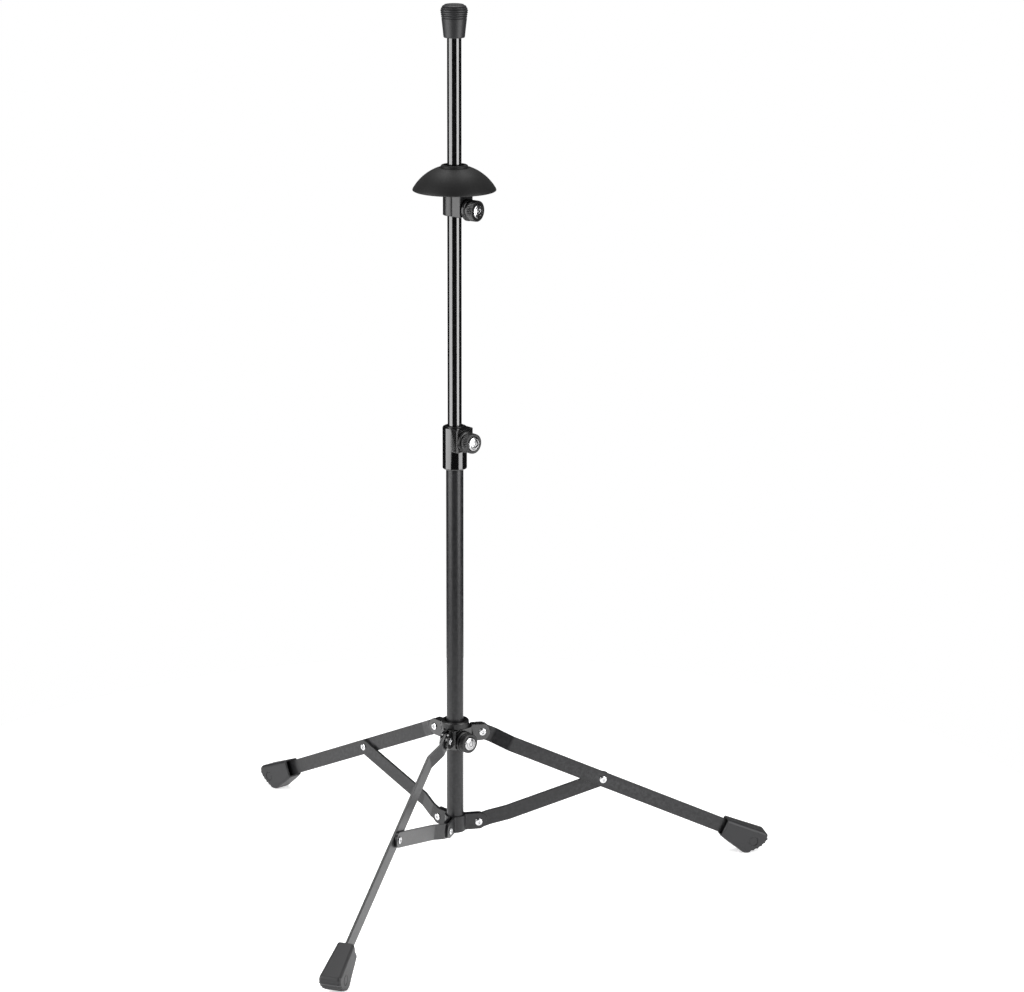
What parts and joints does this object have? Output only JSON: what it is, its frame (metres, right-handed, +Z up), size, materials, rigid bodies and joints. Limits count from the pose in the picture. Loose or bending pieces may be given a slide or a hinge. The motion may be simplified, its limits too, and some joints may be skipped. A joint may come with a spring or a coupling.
{
  "type": "trumpet stand",
  "caption": "Folding tripod stand for a brass instrument: telescoping column with rubber tip, height clutch and dome-shaped bell rest.",
  "frame": {"origin": "on the floor, under the middle of the stand's bounding box with the legs spread", "axes": "+Z up along the column, -Y the side that the clamp knobs face, +X to the right of it"},
  "size_m": [0.675, 0.5924, 1.0235],
  "materials": {
    "satin_steel": "satin black powder coat with a fine grain",
    "gloss_steel": "gloss black enamel",
    "gloss_cast": "gloss black coat on a die casting",
    "black_plastic": "moulded black plastic, fine texture",
    "dome_rubber": "matte black rubber",
    "grey_rubber": "matte dark grey rubber",
    "bright_rivet": "bright domed rivet",
    "bright_cap": "bright plated cap with plain rings",
    "zinc_screw": "zinc plated thread"
  },
  "bodies": {
    "column": {"lower_tube": "satin_steel", "end_plug": "black_plastic", "clutch_sleeve": "gloss_cast", "clutch_bush": "black_plastic", "base_plate_1": "satin_steel", "base_plate_2": "satin_steel", "base_plate_3": "satin_steel", "base_rivet_1": "bright_rivet", "base_rivet_2": "bright_rivet", "base_rivet_3": "bright_rivet"},
    "leg_collar": {"leg_collar": "gloss_cast", "collar_bush": "black_plastic", "collar_rivet_1": "bright_rivet", "collar_rivet_2": "bright_rivet", "collar_rivet_3": "bright_rivet"},
    "leg_1": {"leg_1": "satin_steel", "foot_1": "grey_rubber", "leg_rivet_1": "bright_rivet"},
    "leg_2": {"leg_2": "satin_steel", "foot_2": "grey_rubber", "leg_rivet_2": "bright_rivet"},
    "leg_3": {"leg_3": "satin_steel", "foot_3": "grey_rubber", "leg_rivet_3": "bright_rivet"},
    "strut_1": {"strut_1": "satin_steel", "strut_rivet_1": "bright_rivet"},
    "strut_2": {"strut_2": "satin_steel", "strut_rivet_2": "bright_rivet"},
    "strut_3": {"strut_3": "satin_steel", "strut_rivet_3": "bright_rivet"},
    "rod_guide": {"rod_guide": "black_plastic"},
    "rod": {"upper_rod": "gloss_steel", "tip": "grey_rubber"},
    "bell_rest": {"bell_dome": "dome_rubber", "bell_hub": "black_plastic"},
    "collar_pad": {"collar_pad": "black_plastic"},
    "collar_screw": {"collar_screw": "zinc_screw", "collar_knob": "black_plastic", "collar_cap": "bright_cap"},
    "clutch_pad": {"clutch_pad": "black_plastic"},
    "clutch_screw": {"clutch_screw": "zinc_screw", "clutch_knob": "black_plastic", "clutch_cap": "bright_cap"},
    "bell_pad": {"bell_pad": "black_plastic"},
    "bell_screw": {"bell_screw": "zinc_screw", "bell_knob": "black_plastic", "bell_cap": "bright_cap"}
  },
  "joints": [
    {"name": "base_fold", "type": "slide", "parent": "column", "child": "leg_collar", "axis": [0, 0, 1], "range_m": [0, 0.20345]},
    {"name": "leg_1_hinge", "type": "hinge", "parent": "leg_collar", "child": "leg_1", "pos_m": [0.03179, -0.10222, 0.1734], "axis": [0.5, 0.866, 0], "range_deg": [0, 61.42]},
    {"name": "leg_2_hinge", "type": "hinge", "parent": "leg_collar", "child": "leg_2", "pos_m": [0.00425, -0.05452, 0.1734], "axis": [-1, 0, 0], "range_deg": [0, 61.42]},
    {"name": "leg_3_hinge", "type": "hinge", "parent": "leg_collar", "child": "leg_3", "pos_m": [-0.02329, -0.10222, 0.1734], "axis": [0.5, -0.866, 0], "range_deg": [0, 61.42]},
    {"name": "strut_1_hinge", "type": "hinge", "parent": "column", "child": "strut_1", "pos_m": [0.02833, -0.10021, 0.0597], "axis": [0.5, 0.866, 0], "range_deg": [-68.36, 0]},
    {"name": "strut_2_hinge", "type": "hinge", "parent": "column", "child": "strut_2", "pos_m": [0.00425, -0.05851, 0.0597], "axis": [-1, 0, 0], "range_deg": [-68.36, 0]},
    {"name": "strut_3_hinge", "type": "hinge", "parent": "column", "child": "strut_3", "pos_m": [-0.01983, -0.10021, 0.0597], "axis": [0.5, -0.866, 0], "range_deg": [-68.36, 0]},
    {"name": "rod_slide", "type": "slide", "parent": "column", "child": "rod_guide", "axis": [0, 0, 1], "range_m": [-0.14, 0.1]},
    {"name": "rod_swivel", "type": "hinge", "parent": "rod_guide", "child": "rod", "pos_m": [0.00425, -0.08632, 0.33], "axis": [0, 0, 1], "continuous": true},
    {"name": "bell_rest_slide", "type": "slide", "parent": "rod", "child": "bell_rest", "axis": [0, 0, 1], "range_m": [-0.1, 0.135]},
    {"name": "collar_pad_slide", "type": "slide", "parent": "leg_collar", "child": "collar_pad", "axis": [0, -1, 0], "range_m": [0, 0.00101]},
    {"name": "collar_screw_turn", "type": "hinge", "parent": "collar_pad", "child": "collar_screw", "pos_m": [0.00425, -0.08632, 0.1662], "axis": [0, -1, 0], "range_deg": [0, 360]},
    {"name": "clutch_pad_slide", "type": "slide", "parent": "column", "child": "clutch_pad", "axis": [0, -1, 0], "range_m": [0, 0.00101]},
    {"name": "clutch_screw_turn", "type": "hinge", "parent": "clutch_pad", "child": "clutch_screw", "pos_m": [0.00425, -0.08632, 0.53], "axis": [0, -1, 0], "range_deg": [0, 360]},
    {"name": "bell_pad_slide", "type": "slide", "parent": "bell_rest", "child": "bell_pad", "axis": [0.1736, -0.9848, 0], "range_m": [0, 0.00101]},
    {"name": "bell_screw_turn", "type": "hinge", "parent": "bell_pad", "child": "bell_screw", "pos_m": [0.00425, -0.08632, 0.7965], "axis": [0.1736, -0.9848, 0], "range_deg": [0, 360]}
  ],
  "couplings": [
    {"joint": "leg_1_hinge", "follows": "base_fold", "rad_per_m": 5.2648},
    {"joint": "leg_2_hinge", "follows": "base_fold", "rad_per_m": 5.2648},
    {"joint": "leg_3_hinge", "follows": "base_fold", "rad_per_m": 5.2648},
    {"joint": "strut_1_hinge", "follows": "base_fold", "rad_per_m": -5.8602},
    {"joint": "strut_2_hinge", "follows": "base_fold", "rad_per_m": -5.8602},
    {"joint": "strut_3_hinge", "follows": "base_fold", "rad_per_m": -5.8602},
    {"joint": "collar_pad_slide", "follows": "collar_screw_turn", "m_per_rad": 0.00015915},
    {"joint": "clutch_pad_slide", "follows": "clutch_screw_turn", "m_per_rad": 0.00015915},
    {"joint": "bell_pad_slide", "follows": "bell_screw_turn", "m_per_rad": 0.00015915}
  ]
}
